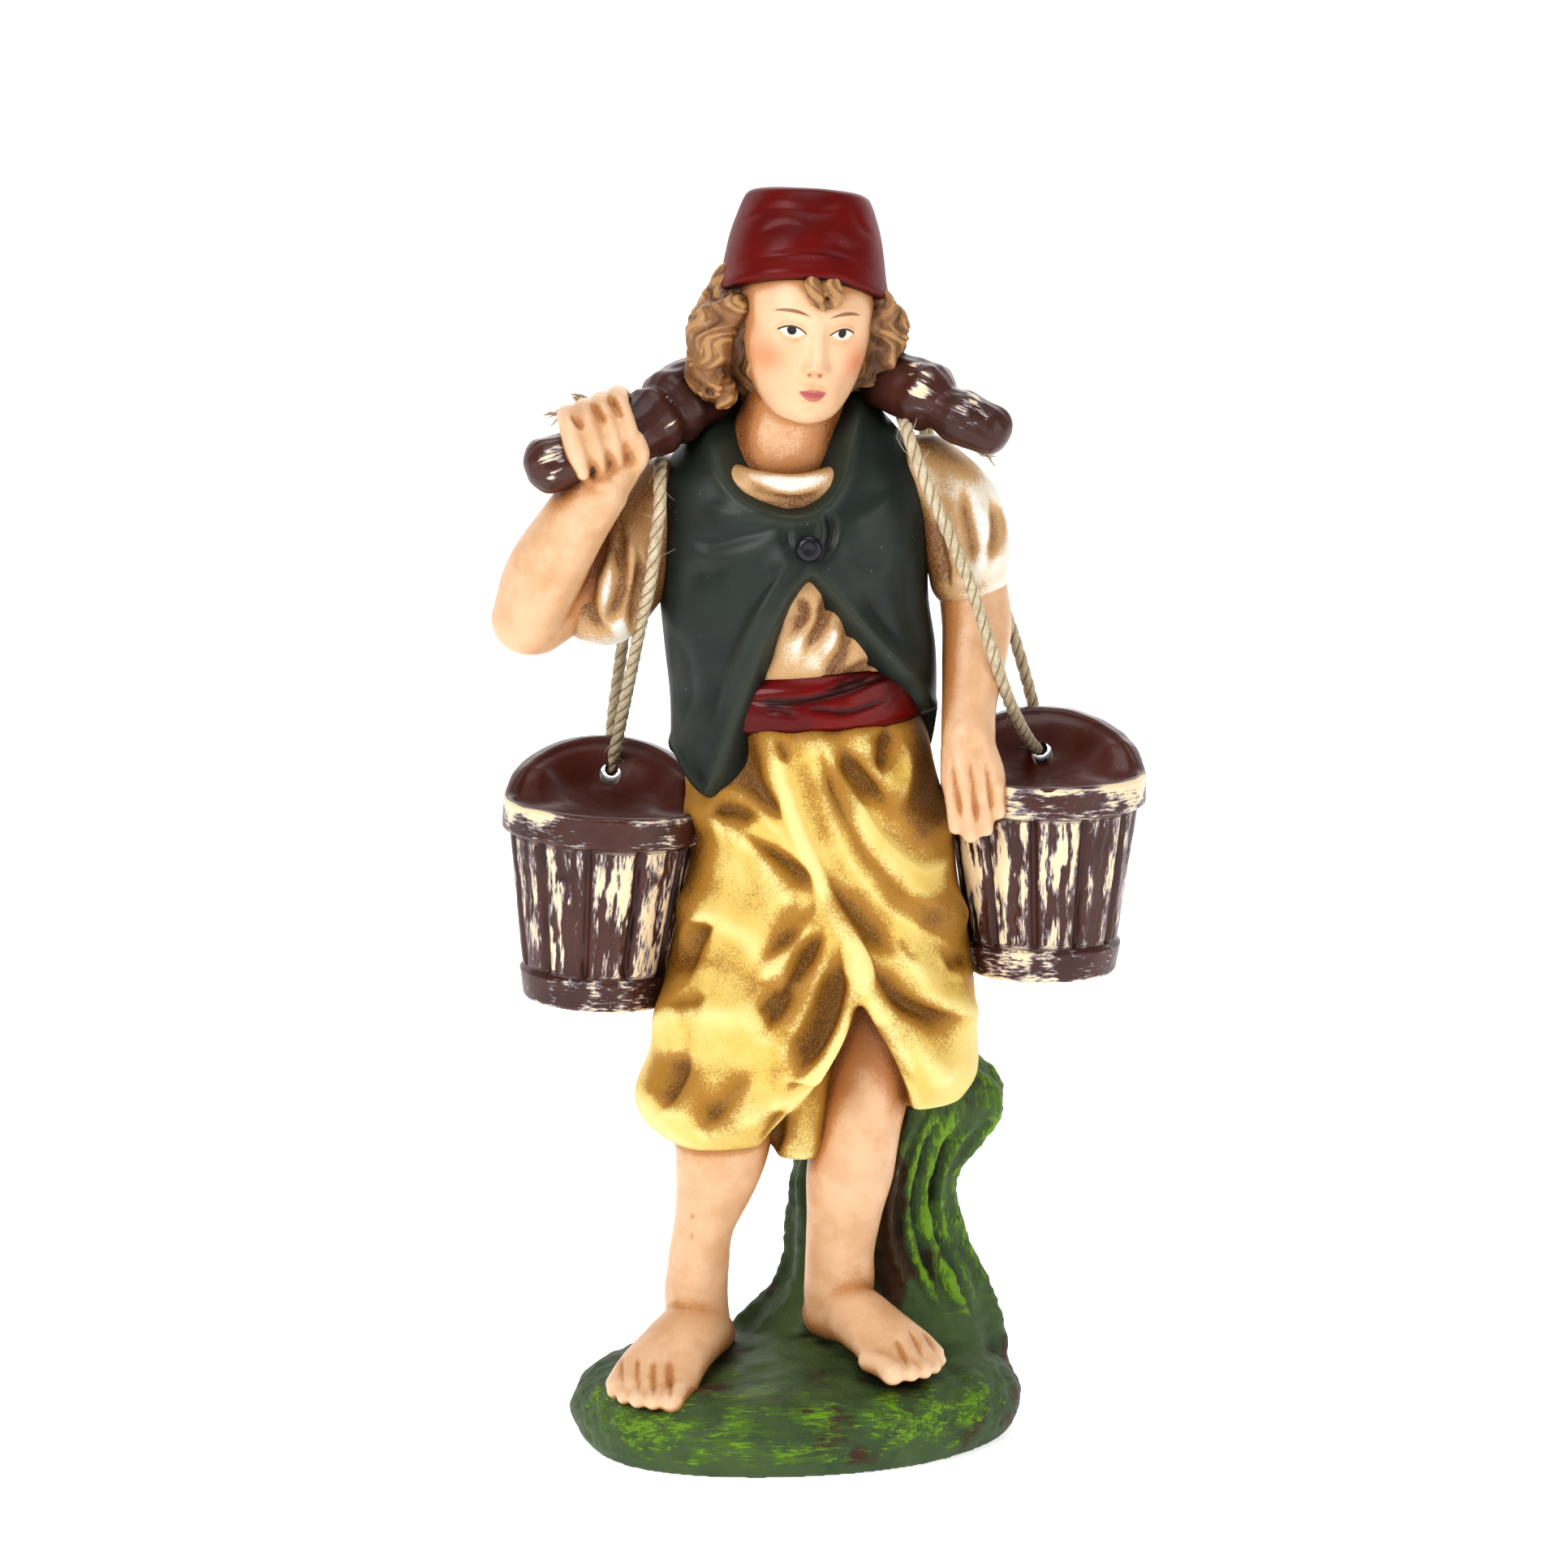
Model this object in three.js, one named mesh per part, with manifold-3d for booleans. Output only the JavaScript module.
// A presepe water carrier: a barefoot youth in a cap and an open vest, cast in one piece with the
// shoulder yoke, two stave buckets, a tree stump and a grassy mound. Two loops of twine, each
// closed with a knot, run from a hole under the yoke to a hole in the raised back of a bucket.
// Millimetres, +Z up, the viewer stands on the -Y side.
import * as THREE from "three";
import { mergeVertices } from "three/addons/utils/BufferGeometryUtils.js";
import Module from "manifold-3d";

const wasm = await Module();
wasm.setup();

// Driving dimensions.
const figureHeight = 188; // from the soles to the top of the cap
const baseLength = 73;
const baseDepth = 55;
const baseHeight = 12;
const bucketTopRadius = 16.4;
const bucketHeight = 32.2;
const bucketBandHeight = 5.2;
const bucketBandProud = 0.8;
const bucketHollow = 1.6; // how far the filled top lies below the rim
const bucketWall = 1.9;
const earHeight = 8; // the raised back of a bucket, above its rim
const earThickness = 3.8;
const staves = 11;
const staveGroove = 0.8;
const twineDiameter = 2;
const holeClearance = 1.4; // the drilled holes are this much wider than the twine
const restClearance = 0.25; // between the twine and what it touches
const knotGap = 0.3; // between the twine's ends and its knot

// The free form is drawn 113 units tall with its soles at 7, and is scaled to the figure's height.
const unitsTall = 113;
const soleUnits = 7;
const unit = figureHeight / unitsTall;
const place = new THREE.Matrix4()
  .makeTranslation(0, 0, baseHeight - soleUnits * unit)
  .multiply(new THREE.Matrix4().makeScale(unit, unit, unit));
const at = (x, y, z) => new THREE.Vector3(x, y, z).applyMatrix4(place);

// Solids. Where they are joined, edges shorter than this are closed up.
const shortestEdge = 0.02;
function solid(geometry) {
  const flat = geometry.index ? geometry.toNonIndexed() : geometry;
  const plain = new THREE.BufferGeometry();
  plain.setAttribute("position", flat.getAttribute("position"));
  const merged = mergeVertices(plain, 1e-4);
  return new wasm.Manifold(
    new wasm.Mesh({
      numProp: 3,
      vertProperties: merged.attributes.position.array,
      triVerts: new Uint32Array(merged.index.array),
      tolerance: shortestEdge,
    }),
  );
}

const unite = (solids) => solids.reduce((sum, next) => sum.add(next));

function geometryOf(manifold) {
  const mesh = manifold.getMesh();
  const geometry = new THREE.BufferGeometry();
  geometry.setAttribute("position", new THREE.BufferAttribute(mesh.vertProperties, 3));
  geometry.setIndex(new THREE.BufferAttribute(mesh.triVerts, 1));
  geometry.computeVertexNormals();
  return geometry;
}

// A closed skin over rings of equal length, with a pole at either end. Each four-sided patch is split
// along its shorter diagonal, so that the facets follow a fold whichever way it runs.
function skin(rings, startPole, endPole) {
  const sides = rings[0].length;
  const points = [startPole, ...rings.flat(), endPole];
  const last = points.length - 1;
  const faces = [];
  for (let s = 0; s < sides; s++) {
    const t = (s + 1) % sides;
    faces.push(0, 1 + t, 1 + s);
    for (let r = 0; r < rings.length - 1; r++) {
      const a = 1 + r * sides;
      const b = a + sides;
      const rising = points[a + s].distanceTo(points[b + t]) <= points[a + t].distanceTo(points[b + s]);
      if (rising) faces.push(a + s, a + t, b + t, a + s, b + t, b + s);
      else faces.push(a + s, a + t, b + s, a + t, b + t, b + s);
    }
    const top = 1 + (rings.length - 1) * sides;
    faces.push(top + s, top + t, last);
  }
  const geometry = new THREE.BufferGeometry().setFromPoints(points);
  geometry.setIndex(faces);
  return geometry;
}

// A rounded limb through stations [x, y, z, radius] or [x, y, z, half width, half depth];
// its width lies along the wide direction.
function limb(stations, sides = 12, wide = new THREE.Vector3(1, 0, 0)) {
  const centres = stations.map(([x, y, z]) => new THREE.Vector3(x, y, z));
  const frames = centres.map((centre, i) => {
    const before = centres[Math.max(0, i - 1)];
    const after = centres[Math.min(centres.length - 1, i + 1)];
    const along = after.clone().sub(before).normalize();
    const across = wide.clone().addScaledVector(along, -wide.dot(along)).normalize();
    return { along, across, deep: along.clone().cross(across) };
  });
  const ring = (i, ahead, share) => {
    const [, , , width, depth = width] = stations[i];
    const { along, across, deep } = frames[i];
    return Array.from({ length: sides }, (_, s) => {
      const turn = (2 * Math.PI * s) / sides;
      return centres[i]
        .clone()
        .addScaledVector(along, ahead)
        .addScaledVector(across, width * share * Math.cos(turn))
        .addScaledVector(deep, depth * share * Math.sin(turn));
    });
  };
  const endRadius = (i) => Math.min(...stations[i].slice(3));
  const last = stations.length - 1;
  const rings = [
    ring(0, -0.6 * endRadius(0), 0.75),
    ...stations.map((_, i) => ring(i, 0, 1)),
    ring(last, 0.6 * endRadius(last), 0.75),
  ];
  const startPole = centres[0].clone().addScaledVector(frames[0].along, -0.92 * endRadius(0));
  const endPole = centres[last].clone().addScaledVector(frames[last].along, 0.92 * endRadius(last));
  return solid(skin(rings, startPole, endPole));
}

// Levels are rows [z, centre x, centre y, half width, half depth]; between rows a smooth curve runs.
function levelAt(levels, z) {
  const last = levels.length - 1;
  let i = levels.findIndex((row) => row[0] >= z);
  if (i < 0) i = last;
  if (i === 0) return levels[0].slice(1);
  const [a, b] = [levels[i - 1], levels[i]];
  const before = levels[Math.max(0, i - 2)];
  const after = levels[Math.min(last, i + 1)];
  const span = b[0] - a[0];
  const t = THREE.MathUtils.clamp((z - a[0]) / span, 0, 1);
  return a.slice(1).map((value, k) => {
    const next = b[k + 1];
    const slopeA = ((next - before[k + 1]) / (b[0] - before[0])) * span;
    const slopeB = ((after[k + 1] - value) / (after[0] - a[0])) * span;
    const t2 = t * t;
    const t3 = t2 * t;
    return (
      (2 * t3 - 3 * t2 + 1) * value +
      (t3 - 2 * t2 + t) * slopeA +
      (3 * t2 - 2 * t3) * next +
      (t3 - t2) * slopeB
    );
  });
}

// A body of stacked ovals, moved in or out by relief(point, outward) where it is given. Its columns
// are drawn together towards the front, where the carving is finest.
function stack(levels, sides, rows, relief, frontShare = 0) {
  const low = levels[0][0];
  const high = levels[levels.length - 1][0];
  const rings = Array.from({ length: rows + 1 }, (_, r) => {
    const z = low + ((high - low) * r) / rows;
    const [cx, cy, a, b] = levelAt(levels, z);
    return Array.from({ length: sides }, (_, s) => {
      const even = (2 * Math.PI * s) / sides;
      const turn = even - frontShare * Math.cos(even);
      const outward = new THREE.Vector3(Math.cos(turn) / a, Math.sin(turn) / b, 0).normalize();
      const point = new THREE.Vector3(cx + a * Math.cos(turn), cy + b * Math.sin(turn), z);
      return relief ? point.addScaledVector(outward, relief(point, outward)) : point;
    });
  });
  const [lowX, lowY] = levelAt(levels, low);
  const [highX, highY] = levelAt(levels, high);
  return solid(skin(rings, new THREE.Vector3(lowX, lowY, low), new THREE.Vector3(highX, highY, high)));
}

// A wall cut from a front-view outline of [x, z] points, from y = near to y = far.
function prism(outline, near, far) {
  const shape = new THREE.Shape(outline.map(([x, z]) => new THREE.Vector2(x, z)));
  const geometry = new THREE.ExtrudeGeometry(shape, { depth: far - near, bevelEnabled: false });
  geometry.rotateX(Math.PI / 2).translate(0, far, 0);
  return solid(geometry);
}

// Folds: ridges and valleys drawn on the front or back as lines of [x, z], with a half width and a
// height (below zero for a valley). A vertex moves by the fold's bell-shaped section.
function foldRelief(folds, side) {
  return (point, outward) => {
    const facing = THREE.MathUtils.smoothstep(side * outward.y, 0, 0.5);
    if (facing === 0) return 0;
    let sum = 0;
    for (const { line, width, height } of folds) {
      let nearest = Infinity;
      for (let i = 0; i < line.length - 1; i++) {
        const [ax, az] = line[i];
        const [bx, bz] = line[i + 1];
        const [dx, dz] = [bx - ax, bz - az];
        const t = THREE.MathUtils.clamp(
          ((point.x - ax) * dx + (point.z - az) * dz) / (dx * dx + dz * dz), 0, 1);
        nearest = Math.min(nearest, Math.hypot(point.x - ax - t * dx, point.z - az - t * dz));
      }
      sum += height * Math.exp(-((nearest / width) ** 2));
    }
    return sum * facing;
  };
}

// Trousers
const skirtLevels = [
  [37, 2.2, 0, 15.2, 10.6],
  [42, 2.2, 0, 15.3, 11],
  [48, 2.5, 0, 14.5, 10.7],
  [54, 2.6, 0.3, 13.2, 10.2],
  [60, 2.4, 0.6, 12.6, 9.6],
  [65, 1.6, 0.8, 12, 9],
  [70, 1.2, 0.8, 11.4, 8.5],
  [75, 1, 0.8, 10.8, 8],
];
const leftLegCloth = [
  [29.6, -7, -3, 4.6, 5.4],
  [31.2, -6.9, -2.8, 7, 7.6],
  [34, -6.7, -2.6, 8.6, 8.8],
  [38, -5.4, -2.2, 8.5, 9.2],
  [44, -4.2, -1.8, 8.8, 9.2],
  [51, -2.6, -1, 7.4, 8.6],
];
const rightLegCloth = [
  [33.2, 11, 0.4, 5.2, 6.6],
  [35.4, 10.6, 0.2, 7, 8.2],
  [39, 9.6, -0.2, 8.1, 9.2],
  [44, 8.8, -0.5, 8.8, 9.7],
  [51, 7.6, -0.5, 8.6, 9.4],
];
const innerFlap = [
  [28.2, 0.6, -4.2, 2.1, 1.6],
  [30.5, 0.3, -4.2, 2.8, 2.3],
  [35, 0.6, -3.8, 3, 2.8],
  [41, 1.4, -3, 3.4, 3.2],
];
// The front opening over the right leg, under the two swept hems.
const legOpening = [
  [6, 45.2], [8.4, 41.2], [10.2, 37.4], [11.2, 34.4], [11.6, 25], [-4.4, 25],
  [-4.6, 31.2], [-2.2, 32.7], [0.4, 34.9], [2.9, 37.9], [5, 41.7],
];
const frontFolds = [
  {
    line: [[-2.6, 72], [-1, 65.4], [1.3, 59.4], [4.2, 52.6], [6.6, 47], [9.8, 42], [13.4, 37]],
    width: 1.7, height: 1.5,
  },
  { line: [[1.4, 72], [3.4, 64.6], [6.6, 58.6], [10.6, 54.4], [16, 52]], width: 1.6, height: 1.4 },
  { line: [[5.6, 72], [7.4, 66.4], [10.2, 62], [15, 60.6]], width: 1.5, height: 1.2 },
  { line: [[-12, 61.4], [-7.4, 61.6], [-3, 58.8], [0.6, 53]], width: 1.7, height: 1.1 },
  { line: [[-14, 51.4], [-9.4, 53], [-4.4, 51], [-0.8, 46.6]], width: 1.7, height: 1.2 },
  { line: [[-15.6, 39.6], [-10.4, 44], [-4.6, 43.4], [-0.6, 39.6]], width: 1.7, height: 1.1 },
  { line: [[5.6, 47.4], [4.4, 42], [1.8, 37.8], [-2.6, 34.2], [-7.6, 32.4]], width: 1.6, height: 1.2 },
  { line: [[10.4, 48.6], [13.4, 44.4], [17.6, 41.6]], width: 1.5, height: 1.1 },
];
const backFolds = [
  { line: [[-5, 70], [-7, 56], [-10, 46], [-13, 34]], width: 1.9, height: 1.2 },
  { line: [[0, 70], [-1, 56], [-3, 46], [-5, 34]], width: 1.9, height: 1.3 },
  { line: [[5, 70], [6, 56], [8.4, 47], [12, 37]], width: 1.9, height: 1.2 },
];
const frontRelief = foldRelief(frontFolds, -1);
const backRelief = foldRelief(backFolds, 1);
const clothRelief = (point, outward) => frontRelief(point, outward) + backRelief(point, outward);

function trousers() {
  const cloth = unite([
    stack(skirtLevels, 30, 10, clothRelief, 0.35),
    stack(leftLegCloth, 15, 5, clothRelief, 0.3),
    stack(rightLegCloth, 15, 4, clothRelief, 0.3),
  ]);
  const openingDepth = -4.5;
  return cloth.subtract(prism(legOpening, -16, openingDepth)).add(stack(innerFlap, 7, 2));
}

// Shirt, sash and vest
const shirtLevels = [
  [69, 1, 0.8, 10.4, 7.8],
  [76, 0.8, 0.6, 11, 8.1],
  [82, 0.2, 0.5, 11.5, 8.3],
  [88, -0.2, 0.6, 11.8, 8],
  [93, -0.1, 1, 11.2, 7],
  [96.5, 0, 1.4, 8, 5.9],
  [98.6, 0, 1.6, 5.6, 4.8],
];
const sashLevels = [
  [70.2, 1, 0.8, 10.8, 8.3],
  [71.2, 1, 0.8, 11.4, 9],
  [73.8, 1, 0.8, 11.4, 8.9],
  [75, 1, 0.8, 10.8, 8.2],
];
const vestLevels = [
  [61, 0.9, 0.8, 12, 9.8],
  [66, 0.8, 0.8, 12.5, 9.8],
  [72, 0.9, 0.7, 12.7, 9.5],
  [77, 0.6, 0.6, 12.9, 9.3],
  [82, 0, 0.5, 12.8, 9.3],
  [88, -0.3, 0.6, 13.1, 9],
  [93, -0.2, 1, 13, 8],
  [96.5, 0.2, 1.5, 10.6, 7],
  [99, 0.4, 1.9, 8.3, 6],
  [101.4, 0.5, 2.6, 5.8, 4.4],
];
// The vest's front below the button: the open wedge, the two points and the rising side hems.
const vestOpening = [
  [1.7, 84.9], [4, 82.4], [6.8, 79], [9.5, 75.9], [11.5, 73.4], [13.3, 70.8], [14.6, 71.6],
  [20, 71.4], [20, 55], [-20, 55], [-20, 68], [-12.4, 68], [-10.6, 65.2], [-8.5, 63.2],
  [-7.5, 64.6], [-6.2, 67.9], [-5.1, 71.4], [-3.9, 74.5], [-2.2, 78.8], [-0.2, 82.8],
];
const vestNeck = [
  [-7.9, 101], [-6.7, 96.5], [-3.8, 93], [-0.3, 91.7], [2.5, 92.4], [4.5, 95.6], [5.4, 99.6],
  [5.6, 108], [-8, 108],
];
const vestBackHem = [[-20, 66.4], [-6, 65.6], [0, 65.2], [6, 65.6], [20, 67], [20, 55], [-20, 55]];
const vestFolds = [
  { line: [[-0.6, 86], [-3.4, 80], [-5.4, 74.4], [-7.4, 66]], width: 1.4, height: 0.6 },
  { line: [[2.6, 85.6], [6.4, 80.4], [10.4, 75.6]], width: 1.4, height: 0.5 },
];
const vestBackFolds = [
  { line: [[-7, 94], [-4, 84], [-3, 70]], width: 1.6, height: 0.6 },
  { line: [[7, 94], [4.6, 84], [3.8, 70]], width: 1.6, height: 0.6 },
];
const vestFront = foldRelief(vestFolds, -1);
const vestBack = foldRelief(vestBackFolds, 1);
const vestRelief = (point, outward) => vestFront(point, outward) + vestBack(point, outward);
const button = [1.4, -8.5, 87.6, 1.3];

function upperDress() {
  const vest = stack(vestLevels, 20, 7, vestRelief, 0.2)
    .subtract(prism(vestOpening, -16, 1))
    .subtract(prism(vestNeck, -16, 1.5))
    .subtract(prism(vestBackHem, 0.9, 16));
  const sashSlope = 0.06;
  const sashMiddle = 72.6;
  const sash = stack(sashLevels, 16, 2).transform(
    new THREE.Matrix4()
      .makeTranslation(0, 0, sashMiddle)
      .multiply(new THREE.Matrix4().makeRotationY(-sashSlope))
      .multiply(new THREE.Matrix4().makeTranslation(0, 0, -sashMiddle)).elements,
  );
  const collar = solid(
    new THREE.TorusGeometry(6.1, 1.15, 4, 14).scale(1, 0.94, 1).rotateX(0.3).translate(-0.9, -0.2, 95.6),
  );
  const [x, y, z, radius] = button;
  const round = solid(new THREE.SphereGeometry(radius, 8, 5).scale(1, 0.7, 1).translate(x, y, z));
  return unite([stack(shirtLevels, 14, 4), vest, sash, collar, round]);
}

// Head, hair and cap
const headPose = new THREE.Matrix4()
  .makeTranslation(0.9, -0.6, 109)
  .multiply(new THREE.Matrix4().makeRotationY(THREE.MathUtils.degToRad(7)))
  .multiply(new THREE.Matrix4().makeRotationX(THREE.MathUtils.degToRad(9)))
  .multiply(new THREE.Matrix4().makeRotationZ(THREE.MathUtils.degToRad(13)));
const headLevels = [
  [-9.2, 0, -4.6, 1.4, 1.3],
  [-8.6, 0, -4.2, 2.9, 2.6],
  [-6.8, 0, -2.9, 4.5, 4.5],
  [-4.2, 0, -1.5, 5.7, 5.9],
  [-1, 0, -0.6, 6.4, 6.6],
  [2, 0, -0.1, 6.4, 6.7],
  [4.4, 0, 0.3, 5.8, 6],
  [6, 0, 0.6, 4.4, 4.8],
];
const noseLine = [[0, -6.5, 0.2, 0.6], [0, -7.1, -1.6, 0.75], [0, -7.5, -3, 0.95], [0, -6.9, -3.5, 0.7]];
const hairLevels = [
  [-9.6, 0, 3.6, 5, 4],
  [-7.5, -0.2, 3, 7.2, 5.8],
  [-4, -0.2, 2.4, 8.6, 7.2],
  [0, 0, 1.8, 8.6, 7.6],
  [3.4, 0, 1.2, 7.7, 7],
  [5, 0, 1, 6.4, 6],
];
const waves = 6;
const waveDepth = 0.45;
const hairRelief = (point, outward) =>
  waveDepth * Math.sin(waves * Math.atan2(outward.y, outward.x) + 0.7 * Math.sin(0.8 * point.z));
// Locks of hair, in the head's own frame: the curls beside the face and the forelock.
const locks = [
  [[-7, -2, 2.4, 1.3], [-9.5, -1.6, -1.4, 2.3], [-8.8, -2, -4, 1.8]],
  [[-8.6, -0.8, -4, 2], [-8.8, -1, -6, 2.1], [-7.2, -2, -8, 1.4]],
  [[6.6, -2, 2.8, 1.2], [7.9, -1.6, 0.2, 2], [7.6, -2.2, -2, 1.5]],
  [[8, -0.8, -1.8, 1.9], [7.8, -1, -3.4, 1.9], [6.4, -1.8, -5.2, 1.3]],
  [[-0.6, -6.2, 4.4, 1.1], [0.3, -6.9, 2.6, 0.9]],
];
const capPose = new THREE.Matrix4()
  .makeTranslation(0.85, 0.4, 111.9)
  .multiply(new THREE.Matrix4().makeRotationY(THREE.MathUtils.degToRad(3.5)))
  .multiply(new THREE.Matrix4().makeRotationX(THREE.MathUtils.degToRad(-9)));
const capProfile = [[0, -0.4], [7.5, -0.4], [7.9, 0.3], [7.15, 3.9], [6.15, 7.3], [5.3, 8.2], [0, 8.6]];

function head() {
  const lathed = new THREE.LatheGeometry(capProfile.map(([r, z]) => new THREE.Vector2(r, z)), 16);
  const cap = solid(lathed.rotateX(Math.PI / 2)).transform(capPose.elements);
  const parts = [
    stack(headLevels, 12, 7),
    limb(noseLine, 5),
    stack(hairLevels, 16, 4, hairRelief),
    ...locks.map((lock) => limb(lock, 6)),
  ];
  return unite(parts).transform(headPose.elements).add(cap);
}
const neck = [
  [-0.6, 0.6, 93.5, 5.2, 5], [-0.4, 0, 97, 4.6, 4.5], [0.2, -0.4, 101, 4.4, 4.4], [0.6, -0.6, 104, 4.4, 4.4],
];

// Arms
const leftUpperArm = [[-14, 0.5, 88.5, 3.6], [-20, -0.5, 83.4, 3.7], [-24.8, -1.8, 80.2, 3.8]];
const leftForearm = [
  [-25.2, -2.4, 79.9, 3.5], [-23.6, -4.4, 84.4, 3.75], [-20.8, -6.2, 89.4, 3.3], [-18.4, -7, 93, 3],
];
const leftSleeve = [
  [-11.4, 1.4, 91, 4.4], [-14.4, 0.6, 87.4, 4.7], [-17, 0, 83.6, 4.9], [-18.4, -0.3, 81.4, 4.5],
];
const leftPalm = [[-18.4, -7, 93.4, 3.1, 2.6], [-17.8, -6, 95.6, 3.7, 2.5], [-17.4, -4.4, 98.2, 3.4, 2.2]];
const rightSleeve = [
  [12.2, 1.2, 93.6, 3.8], [15.2, 0.9, 90.6, 4.2], [16.3, 0.8, 86.6, 4.3], [16.6, 0.7, 83.6, 3.7],
];
const rightArm = [
  [16.6, 0.8, 85, 3.2], [17.4, 0.6, 79.4, 3.35], [17.1, -0.8, 75.6, 3.05], [16.6, -3.2, 71.6, 2.6],
  [16.5, -4.9, 68.8, 2.6],
];
const rightHand = [[16.5, -5.4, 68, 2.7, 2.1], [16.9, -6.4, 65.6, 3.1, 1.9], [17.2, -6.9, 63.6, 2.9, 1.6]];
const rightFingers = [
  [[15, -7.2, 64.4, 0.9], [15.3, -7.6, 60.9, 0.75]],
  [[16.3, -7.6, 64.2, 0.95], [16.7, -8, 60.2, 0.8]],
  [[17.7, -7.6, 64.2, 0.95], [18.1, -7.8, 60.8, 0.8]],
  [[19, -7.2, 64.6, 0.95], [19.3, -7.2, 62.3, 0.8]],
];

// Fingers of the raised hand close round the yoke from above.
const gripRadius = 3.3;
const gripFingers = 4;
function gripFinger(i) {
  const t = i / (gripFingers - 1);
  const centre = [-20.2 + 4.7 * t, -7.4 + 2.6 * t, 96.7 + 1.6 * t];
  const [slant, thickness] = [0.3, 1];
  return [-60, -15, 35, 85, 125].map((angle, k) => {
    const turn = THREE.MathUtils.degToRad(angle);
    const fall = gripRadius * Math.cos(turn);
    return [
      centre[0] - slant * fall, centre[1] - gripRadius * Math.sin(turn), centre[2] + fall,
      thickness * (k === 4 ? 0.7 : 1)];
  });
}
const gripThumb = [[-15.8, -6.4, 94.6, 1.3], [-14.6, -7, 96.2, 1.15], [-14.8, -7.8, 97.8, 0.9]];

// Yoke
const yoke = [
  [-22.9, -9, 95.6, 2.6], [-19, -7.4, 96.6, 2.6], [-13.8, -3, 98.6, 3.1], [-9.6, 1.2, 100.9, 3.5],
  [-6.5, 4, 101.4, 3.3], [-1, 6.6, 101.6, 3.1], [4.4, 5.6, 101.9, 3], [9, 1.9, 102.2, 3],
  [13, -1.6, 100.8, 3.05], [14.4, -2.5, 100, 2.4], [15.6, -3.1, 99.4, 2.65], [18.3, -4.2, 98.3, 2.35],
];

// Legs and feet
const leftLeg = [
  [-6.8, -3.8, 35, 5], [-6.8, -4, 30.2, 4.7], [-7.4, -4, 26.3, 4], [-8.6, -3.6, 21.5, 2.95],
  [-9.15, -2.8, 17.6, 2.95], [-9.4, -1.8, 13.5, 3.1], [-8.9, -1, 10.4, 2.9],
];
const rightLeg = [
  [8.4, -1, 44, 5], [7.4, -2.4, 37, 4.3], [6.2, -3, 31, 4.1], [5.4, -2.8, 26.6, 4.2], [4.9, -2.2, 22.8, 3.7],
  [4.5, -1.4, 18.8, 3.35], [4.4, -0.6, 15, 3.4], [4.2, 0, 12, 3.2],
];
const leftFoot = [
  [-8.3, 1, 9.4, 2.7, 2.6], [-9.6, -3, 10.6, 3.3, 3.4], [-11.6, -6.6, 9.4, 3.8, 2.7],
  [-13.4, -10, 7.6, 4.3, 1.8], [-14, -11.5, 7, 4.3, 1.5],
];
const rightFoot = [
  [3.2, 1, 11.4, 2.5, 2.6], [5.4, -2.4, 12.4, 2.9, 3.2], [8.2, -6, 11.2, 3.3, 2.5],
  [10.4, -8.8, 9.8, 3.8, 1.8], [11.2, -9.9, 9.4, 3.8, 1.5],
];
const toeLengths = [2.5, 2.3, 2, 1.7, 1.3];
const toeThickness = [1.2, 0.9, 0.9, 0.85, 0.8];
// Toes fan out from the ball of the foot, the great toe on the inner side.
function toes(foot, inner) {
  const [back, ball] = foot.slice(-2);
  const ahead = new THREE.Vector2(ball[0] - back[0], ball[1] - back[1]).normalize();
  const inward = new THREE.Vector2(-ahead.y, ahead.x).multiplyScalar(inner);
  return toeLengths.map((length, i) => {
    const spread = 3.1 - 1.62 * i;
    const curve = -0.12 * spread * spread;
    const root = [
      ball[0] + inward.x * spread + ahead.x * curve,
      ball[1] + inward.y * spread + ahead.y * curve,
    ];
    const thick = toeThickness[i];
    const step = (share, z, size) => [
      root[0] + ahead.x * length * share, root[1] + ahead.y * length * share, ball[2] + z, size];
    return limb([step(-0.5, 0.2, thick), step(0.95, -0.35, thick * 0.9)], 4);
  });
}

// Stump and mound
const stumpLevels = [
  [3, 8.5, 5.5, 12.4, 9],
  [8.8, 7.3, 6.2, 12.8, 7.8],
  [13.5, 8.7, 6.4, 10.2, 6.4],
  [16, 8.5, 6.2, 9.2, 6],
  [20, 7.9, 6, 8.3, 5.8],
  [24.6, 7.9, 5.6, 7.9, 5.9],
  [28, 9.8, 5.2, 8.6, 6],
  [31, 12, 4.9, 8.4, 6],
  [34, 12.6, 4.6, 7.2, 5.6],
  [36.6, 12.4, 4.4, 4.8, 4.4],
];
const barkRidges = 6;
const barkDepth = 0.5;

function stump() {
  const bark = (point, outward) =>
    barkDepth * Math.sin(barkRidges * Math.atan2(outward.y, outward.x) + 0.16 * point.z);
  return stack(stumpLevels, 18, 7, bark);
}

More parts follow.
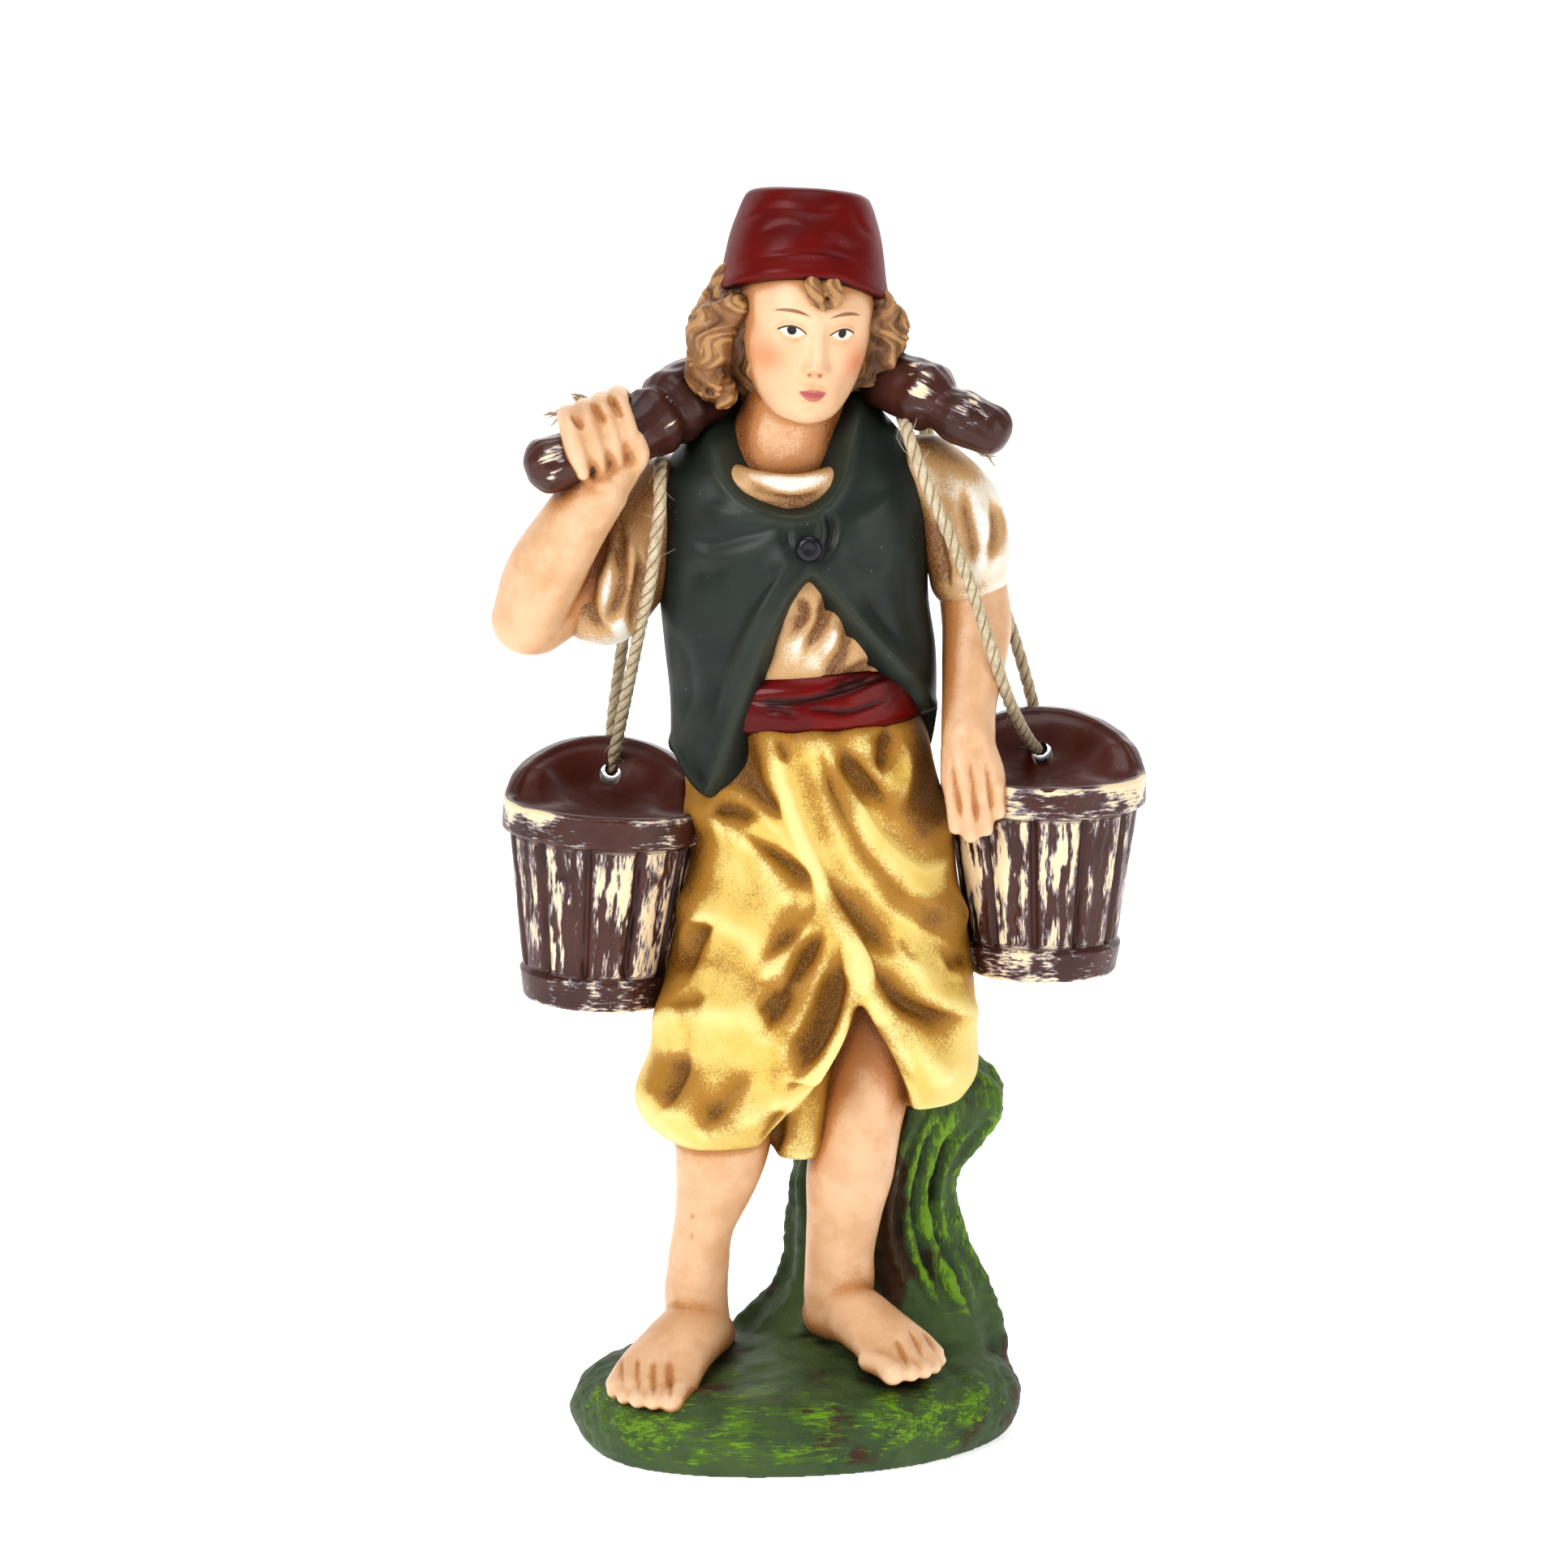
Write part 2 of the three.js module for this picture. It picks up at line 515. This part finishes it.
// The mound is a low cushion with an uneven edge, turned a little so that its right end lies further
// back. Its top rises behind the feet towards the stump.
const moundTurn = 14;
const moundRise = 0.45;
function mound() {
  const rows = [[0, 0.94], [0.2, 0.99], [0.45, 1], [0.72, 0.965], [0.92, 0.88], [1, 0.74], [1, 0.4]];
  const sides = 24;
  const crown = new THREE.Vector2(0.1 * baseLength, 0.1 * baseDepth);
  const topAt = (x, y, share) => {
    const away = Math.hypot((x - crown.x) / (0.3 * baseLength), (y - crown.y) / (0.3 * baseDepth));
    return baseHeight * share * (1 + moundRise * Math.exp(-away * away));
  };
  const square = (v) => Math.sign(v) * Math.abs(v) ** 0.92;
  const ends = new THREE.Vector2();
  const rings = rows.map(([height, share]) =>
    Array.from({ length: sides }, (_, s) => {
      const turn = (2 * Math.PI * s) / sides;
      const edge = share * (1 + 0.015 * Math.sin(3 * turn + 1) + 0.01 * Math.sin(5 * turn + 2));
      const x = (baseLength / 2) * edge * square(Math.cos(turn));
      const y = (baseDepth / 2) * edge * square(Math.sin(turn));
      ends.set(x, y).rotateAround(new THREE.Vector2(), THREE.MathUtils.degToRad(moundTurn));
      return new THREE.Vector3(ends.x, ends.y, topAt(ends.x, ends.y, height));
    }),
  );
  return solid(skin(rings, new THREE.Vector3(0, 0, 0), new THREE.Vector3(0, 0, topAt(0, 0, 1))));
}

// Buckets. Each stands off the hip that it is fused to: the hip reaches this far out at the height of
// the rim. The hole drilled in the raised back is placed in millimetres from the middle of the rim.
const leftBucket = { side: -1, hip: 8.0425, y: 1, rim: 62, tilt: 3.5, bottomRadius: 10.8, hole: [0.3327, 2.4956] };
const rightBucket = { side: 1, hip: 14.0425, y: 2, rim: 64.7, tilt: 0, bottomRadius: 11, hole: [0.1664, 1.1646] };
const yokeHole = { left: [-12.6, 94.6], right: [10.4, 98.6] };

function rimMiddle({ side, hip, y, rim }) {
  return at(side * hip, y, rim).add(new THREE.Vector3(side * bucketTopRadius, 0, 0));
}

function staveBody(bottomRadius) {
  const [top, proud, band, height] = [bucketTopRadius, bucketBandProud, bucketBandHeight, bucketHeight];
  const wallAt = (up) => bottomRadius + ((top - proud - bottomRadius) * up) / height;
  const profile = [
    [0, 0],
    [bottomRadius + proud, 0],
    [wallAt(band) + proud, band],
    [wallAt(band), band],
    [wallAt(height - band), height - band],
    [top, height - band],
    [top, height],
    [top - bucketWall, height],
    [top - bucketWall, height - bucketHollow],
    [0, height - bucketHollow],
  ];
  // Every third column is the bottom of a groove, and its neighbours are the edges of the staves.
  const columns = 3 * staves;
  const groove = [3, 4];
  const lathed = new THREE.LatheGeometry(profile.map(([r, h]) => new THREE.Vector2(r, h)), columns);
  const positions = lathed.getAttribute("position");
  const grooveAngle = (1.1 * staveGroove) / top;
  const staveAngle = (2 * Math.PI) / staves;
  for (let i = 0; i < positions.count; i++) {
    const column = Math.floor(i / profile.length);
    const stave = Math.floor(column / 3);
    const turn = staveAngle * stave + [0, grooveAngle, staveAngle - grooveAngle][column % 3];
    const cut = column % 3 === 0 && groove.includes(i % profile.length) ? staveGroove : 0;
    const [radius, height] = profile[i % profile.length];
    positions.setXYZ(i, (radius - cut) * Math.cos(turn), (radius - cut) * Math.sin(turn), height);
  }
  return solid(lathed);
}

function bucket(spec) {
  const { tilt, bottomRadius } = spec;
  const outer = bucketTopRadius - 0.1;
  const round = (radius) =>
    solid(new THREE.CylinderGeometry(radius, radius, 2 * earHeight, 18).rotateX(Math.PI / 2)
      .translate(0, 0, bucketHeight + earHeight / 2));
  const foot = bucketHeight - bucketHollow / 2;
  const arch = Array.from({ length: 8 }, (_, i) => {
    const turn = (Math.PI * i) / 7;
    const rise = earHeight + bucketHollow / 2;
    return [bucketTopRadius * Math.cos(turn), foot + rise * Math.sin(turn) ** 0.85];
  });
  const ear = round(outer)
    .subtract(round(outer - earThickness))
    .intersect(prism(arch, 0.1 * outer, bucketTopRadius + 1));
  const pose = new THREE.Matrix4()
    .makeTranslation(...rimMiddle(spec).toArray())
    .multiply(new THREE.Matrix4().makeRotationY(THREE.MathUtils.degToRad(tilt)))
    .multiply(new THREE.Matrix4().makeTranslation(0, 0, -bucketHeight));
  return staveBody(bottomRadius).add(ear).transform(pose.elements);
}

// Twine: each loop starts at its knot behind the yoke, comes forward under the yoke, falls in front
// of the sleeve to the hole in the bucket's raised back, and climbs behind the arm to the knot.
const leftTwine = [
  [-13.4, 7.6, 94.8], [-13, 6.4, 94.7], [-12.6, 4, 94.6], [-12.6, 0, 94.6], [-12.6, -3, 94.6],
  [-12.6, -4.7, 93.6], [-12.6, -5.1, 91], [-13, -5.2, 88], [-13.5, -4.4, 84], [-14.6, -1.6, 79],
  [-15.6, 1.6, 74], [-16.6, 4.8, 69], [-17.3, 7.2, 65.4], [-17.6, 8.6, 63.8], [-17.7, 10.4, 63.4],
  [-17.7, 12.4, 63.6], [-17.8, 13.3, 65], [-17.6, 12.8, 68], [-16.8, 11.4, 74], [-16, 10, 80],
  [-15.2, 8.8, 86], [-14.8, 8.4, 91], [-14.6, 8.3, 93.2],
];
const rightTwine = [
  [11.2, 7.6, 98.9], [10.8, 6, 98.7], [10.4, 3.6, 98.6], [10.4, 0, 98.6], [10.5, -3.4, 98.6],
  [10.9, -5.4, 97.4], [12, -6.1, 94.4], [13.4, -6, 91.2], [14.9, -5.6, 87.8], [16.5, -5.1, 84],
  [17.7, -4.7, 80.4], [18.9, -4.4, 76.8], [20, -2.8, 73.4], [21.2, 0.6, 70.2], [22.4, 4.4, 67.6],
  [23.4, 7.8, 65.9], [24, 10.4, 65.4], [24, 12.6, 65.4], [24, 14.2, 66.4], [23.4, 14.4, 69],
  [21.4, 13.2, 76], [18.4, 11.6, 84], [15.4, 10, 91], [13, 8.8, 96], [12.3, 8.3, 97.4],
];
const twineSides = 8;
const twineStep = 3; // steps along the twine, in diameters

function twineCurve(route) {
  return new THREE.CatmullRomCurve3(route.map(([x, y, z]) => at(x, y, z)), false, "centripetal");
}

function twine(curve, diameter) {
  const section = new THREE.Shape();
  section.absarc(0, 0, diameter / 2, 0, 2 * Math.PI);
  const steps = Math.round(curve.getLength() / (twineStep * twineDiameter));
  const curveSegments = twineSides / 2; // an arc is cut into twice as many
  return solid(
    new THREE.ExtrudeGeometry(section, { steps, extrudePath: curve, bevelEnabled: false, curveSegments }),
  );
}

// A knot is a tight lump with two frayed tails, sitting just past the twine's two ends.
const leftTails = [
  [[-3, -2.2, 2], [-6, -5.2, 4], [-8.6, -7, 4.6]],
  [[-2.4, -1.4, 2.6], [-5, -4.6, 5], [-6.6, -6.6, 6]],
];
const rightTails = [
  [[2.4, -2.4, -1.2], [4.6, -5, -2.4], [6.6, -7.2, -3.4]],
  [[0.8, 0.8, -2.6], [1.2, 1, -5.2]],
];
function knot(route, tails) {
  const [first, last] = [at(...route[0]), at(...route[route.length - 1])];
  const radius = twineDiameter * 1.1;
  const out = new THREE.Vector3(0, 1, 0.35).normalize();
  const centre = first.clone().add(last).multiplyScalar(0.5).addScaledVector(out, knotGap + radius);
  const ball = new THREE.SphereGeometry(radius, 8, 5).scale(1.2, 0.9, 1);
  const lump = solid(ball.translate(...centre.toArray()));
  const strands = tails.map((tail) =>
    limb([[0, 0, 0], ...tail].map(([x, y, z]) => [
      centre.x + x * unit, centre.y + y * unit, centre.z + z * unit, 0.45 * twineDiameter]), 5));
  return unite([lump, ...strands]);
}

// The casting
function hole(x, z) {
  const radius = (twineDiameter + holeClearance) / 2;
  const length = 60;
  return solid(new THREE.CylinderGeometry(radius, radius, length, 10).translate(x, at(0, 4, 0).y, z));
}

function earHole(spec) {
  const middle = rimMiddle(spec);
  return hole(middle.x + spec.hole[0], middle.z + spec.hole[1]);
}

const free = unite([
  trousers(), upperDress(), head(), limb(neck, 9), stump(),
  limb(leftUpperArm, 8), limb(leftForearm, 8), limb(leftSleeve, 8), limb(leftPalm, 7), limb(gripThumb, 5),
  ...Array.from({ length: gripFingers }, (_, i) => limb(gripFinger(i), 5)),
  limb(rightArm, 8), limb(rightSleeve, 8), limb(rightHand, 7),
  ...rightFingers.map((finger) => limb(finger, 5)),
  limb(yoke, 8), limb(leftLeg, 8), limb(rightLeg, 8), limb(leftFoot, 8), limb(rightFoot, 8),
  ...toes(leftFoot, 1), ...toes(rightFoot, -1),
]).transform(place.elements);

const curves = { left: twineCurve(leftTwine), right: twineCurve(rightTwine) };
const knots = { left: knot(leftTwine, leftTails), right: knot(rightTwine, rightTails) };
const channel = twineDiameter + 2 * restClearance;
const drilled = [
  ...Object.values(yokeHole).map(([x, z]) => hole(at(x, 0, z).x, at(x, 0, z).z)),
  earHole(leftBucket),
  earHole(rightBucket),
  twine(curves.left, channel),
  twine(curves.right, channel),
].reduce((rest, cut) => rest.subtract(cut), unite([free, mound(), bucket(leftBucket), bucket(rightBucket)]));
// The casting is solid all through, so a pocket closed in between two forms is filled.
const casting = unite(drilled.decompose().filter((shell) => shell.volume() > 0));

// Materials and the scene graph
const painted = new THREE.MeshStandardMaterial({ color: 0xb8935a, roughness: 0.5, metalness: 0 });
const jute = new THREE.MeshStandardMaterial({ color: 0xa89a78, roughness: 0.95, metalness: 0 });

const part = new THREE.Group();
function add(name, manifold, material) {
  const mesh = new THREE.Mesh(geometryOf(manifold), material);
  mesh.name = name;
  part.add(mesh);
}
add("figure", casting, painted);
for (const side of ["left", "right"]) {
  add(`twine_${side}`, twine(curves[side], twineDiameter), jute);
  add(`knot_${side}`, knots[side], jute);
}

export default part;
